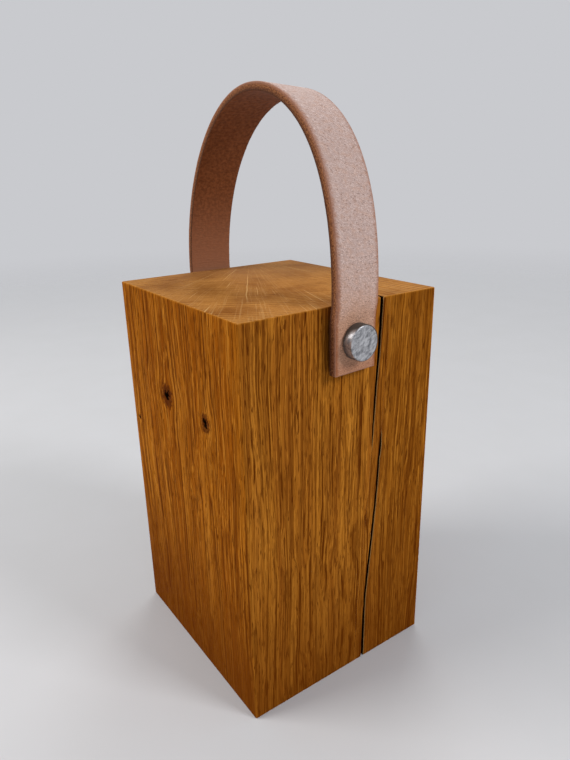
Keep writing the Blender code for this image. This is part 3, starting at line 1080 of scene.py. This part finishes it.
def make_steel():
    material, g, shader = new_material("turned_steel")
    place = g.millimetres()
    x, y, z = g.split(place)
    z = g.minus(z, BOLT_HEIGHT / MM)
    scratches = 0.0
    for turn in SCRATCH_TURNS:
        cosine, sine = math.cos(turn), math.sin(turn)
        lean_y = g.plus(g.times(y, cosine), g.times(z, sine))
        lean_z = g.minus(g.times(z, cosine), g.times(y, sine))
        leaning = g.join(x, lean_y, lean_z)
        scratches = g.most(scratches, streaks(g, leaning, 0.16, 3.5, 0.58, 0.72))
    # The clouds lie along the last of the scratches.
    cloud = g.group(MOTTLE, Vector=g.scaled(leaning, (1, 1, 0.65)), Size=1.6)
    pits = g.group(PITS, Vector=place, Size=0.7, Share=0.25)
    dull = g.smooth(cloud, 0.34, 0.70)
    colour = g.mix(dull, STEEL_PALE, STEEL_DULL)
    colour = g.tint(colour, STEEL_DULL, pits, 0.35)
    from_axis = g.length(g.join(0.0, y, z))
    on_side = g.smooth(from_axis, CAP_RADIUS / MM - 0.40, CAP_RADIUS / MM - 0.20)
    tool_marks = g.noise(g.join(g.over(x, 0.35), 0.0, 0.0), detail=1.0)
    # The side is darker and a little browner: partly duller steel, partly a painted reflection of the
    # leather.
    colour = g.mix(on_side, colour, STEEL_SIDE_DULL_AND_REFLECTION)
    worn = g.spread(g.times(g.plus(dull, scratches), 0.5), 0.36, 0.58)
    g.wire(shader, Base_Color=colour, Metallic=1.0, Roughness=g.most(worn, g.times(on_side, 0.80)))
    marks = g.times(g.plus(scratches, pits), 0.3)
    rings = g.times(g.times(tool_marks, on_side), 1.5)
    height = g.plus(g.minus(g.times(cloud, 0.6), marks), rings)
    g.bump(shader, height, strength=0.35, distance=0.08 * MM)
    return material


steel = make_steel()
for side in SIDES:
    cap = turned(f"stud_cap_{side}_turned", cap_profile(), CAP_STEPS, side)
    dress(cap, "block", "turned_steel", steel)
    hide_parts(f"stud_cap_{side}")
print(f"caps: {2 * CAP_RADIUS / MM:.0f} mm across, {(CAP_FACE - CAP_BACK) / MM:.1f} mm thick")

# %% [markdown]
# ## Bolts and spacer washers
#
# The bolts are inside the wood and the caps, and only a sliver of each washer shows behind the strap.
# Their construction shapes are right, so they keep them and only get a finish: zinc plate, which is a
# soft grey with a cloudy surface.

# %% Finish the bolts and washers
ZINC_PALE = srgb(186, 188, 190)
ZINC_DULL = srgb(140, 142, 144)


def make_zinc():
    material, g, shader = new_material("zinc_plate")
    place = g.millimetres()
    cloud = g.group(MOTTLE, Vector=place, Size=1.2)
    pits = g.group(PITS, Vector=place, Size=0.5, Share=0.2)
    colour = g.mix(g.smooth(cloud, 0.3, 0.7), ZINC_PALE, ZINC_DULL)
    rough = g.spread(g.most(cloud, pits), 0.3, 0.6)
    g.wire(shader, Base_Color=colour, Metallic=1.0, Roughness=rough)
    g.bump(shader, g.minus(cloud, pits), strength=0.3, distance=0.08 * MM)
    return material


zinc = make_zinc()
plated = [name for name in sorted(frame["nodes"]) if "bolt" in name or "washer" in name]
for name in plated:
    materials = frame["nodes"][name].data.materials
    materials.clear()
    materials.append(zinc)
print("zinc on:", ", ".join(plated))

# %% [markdown]
# ## Floor and backdrop
#
# A floor with a back wall looks right from one side only. This floor is a round pale sheet that fades
# away towards its rim, in front of an equally pale sky, so that the object stands in the same plain space
# from every side. The sheet near the object is solid and keeps its shadow.

# %% Lay the floor
FLOOR_RADIUS = 1.8
FLOOR_SOLID = 0.45
FLOOR_LIGHT = srgb(208, 208, 210)
FLOOR_DARK = srgb(203, 203, 204)


def lay_floor():
    shape = bmesh.new()
    bmesh.ops.create_circle(shape, cap_ends=True, radius=FLOOR_RADIUS, segments=96)
    return link_mesh("floor", shape)


def make_floor_paint():
    material, g, shader = new_material("floor_paint")
    place = g.millimetres()
    cloud = g.group(MOTTLE, Vector=place, Size=60.0)
    fade = g.smooth(g.length(place), FLOOR_RADIUS / MM, FLOOR_SOLID / MM)
    g.wire(shader, Base_Color=g.mix(cloud, FLOOR_LIGHT, FLOOR_DARK), Roughness=0.8, Alpha=fade)
    return material


floor = lay_floor()
floor.data.materials.append(make_floor_paint())
print(f"floor: {2 * FLOOR_RADIUS:.1f} m across, solid to {FLOOR_SOLID} m from the middle")

# %% [markdown]
# ## Light
#
# The main light is a large soft panel high on the left, with a smaller one on the right and a weak one
# behind, so that no side is left in the dark. The sky gives the rest. Their levels are set so that a
# colour comes out about as it is written. The sky has two values: a moderate one that lights the object,
# and a pale one that the camera and shiny surfaces see.

# %% Set the lights
def soft_panel(name, place, size, watts, colour):
    """A square area light that looks at the upper part of the block."""
    data = bpy.data.lights.new(name, "AREA")
    data.size = size
    data.energy = watts
    data.color = colour
    lamp = bpy.data.objects.new(name, data)
    lamp.location = place
    aim = Vector((0, 0, BLOCK_TOP * 0.75))
    lamp.rotation_euler = (aim - Vector(place)).to_track_quat("-Z", "Y").to_euler()
    bpy.context.scene.collection.objects.link(lamp)


soft_panel("main_panel", (-0.55, -1.15, 1.10), 0.8, 16, (1.0, 0.98, 0.95))
soft_panel("side_panel", (1.25, 0.60, 1.10), 0.5, 12.5, (0.97, 0.98, 1.0))
soft_panel("back_panel", (-0.90, 0.90, 1.50), 0.8, 6, (1.0, 0.99, 0.97))
SKY_COLOUR = (0.92, 0.95, 1.0, 1.0)
SKY_LEVEL = 0.42
BACKDROP = srgb(201, 202, 206)


def hang_sky():
    world = bpy.data.worlds.new("sky")
    world.use_nodes = True
    g = Graph(world.node_tree)
    path = g.add("LightPath").outputs
    seen = g.most(path["Is Camera Ray"], path["Is Glossy Ray"])
    seen = g.most(seen, path["Is Transmission Ray"])
    sky = world.node_tree.nodes["Background"]
    g.wire(sky, Color=g.mix(seen, SKY_COLOUR, BACKDROP), Strength=g.spread(seen, SKY_LEVEL, 1.0))
    bpy.context.scene.world = world


hang_sky()
bpy.context.scene.view_settings.view_transform = "Standard"
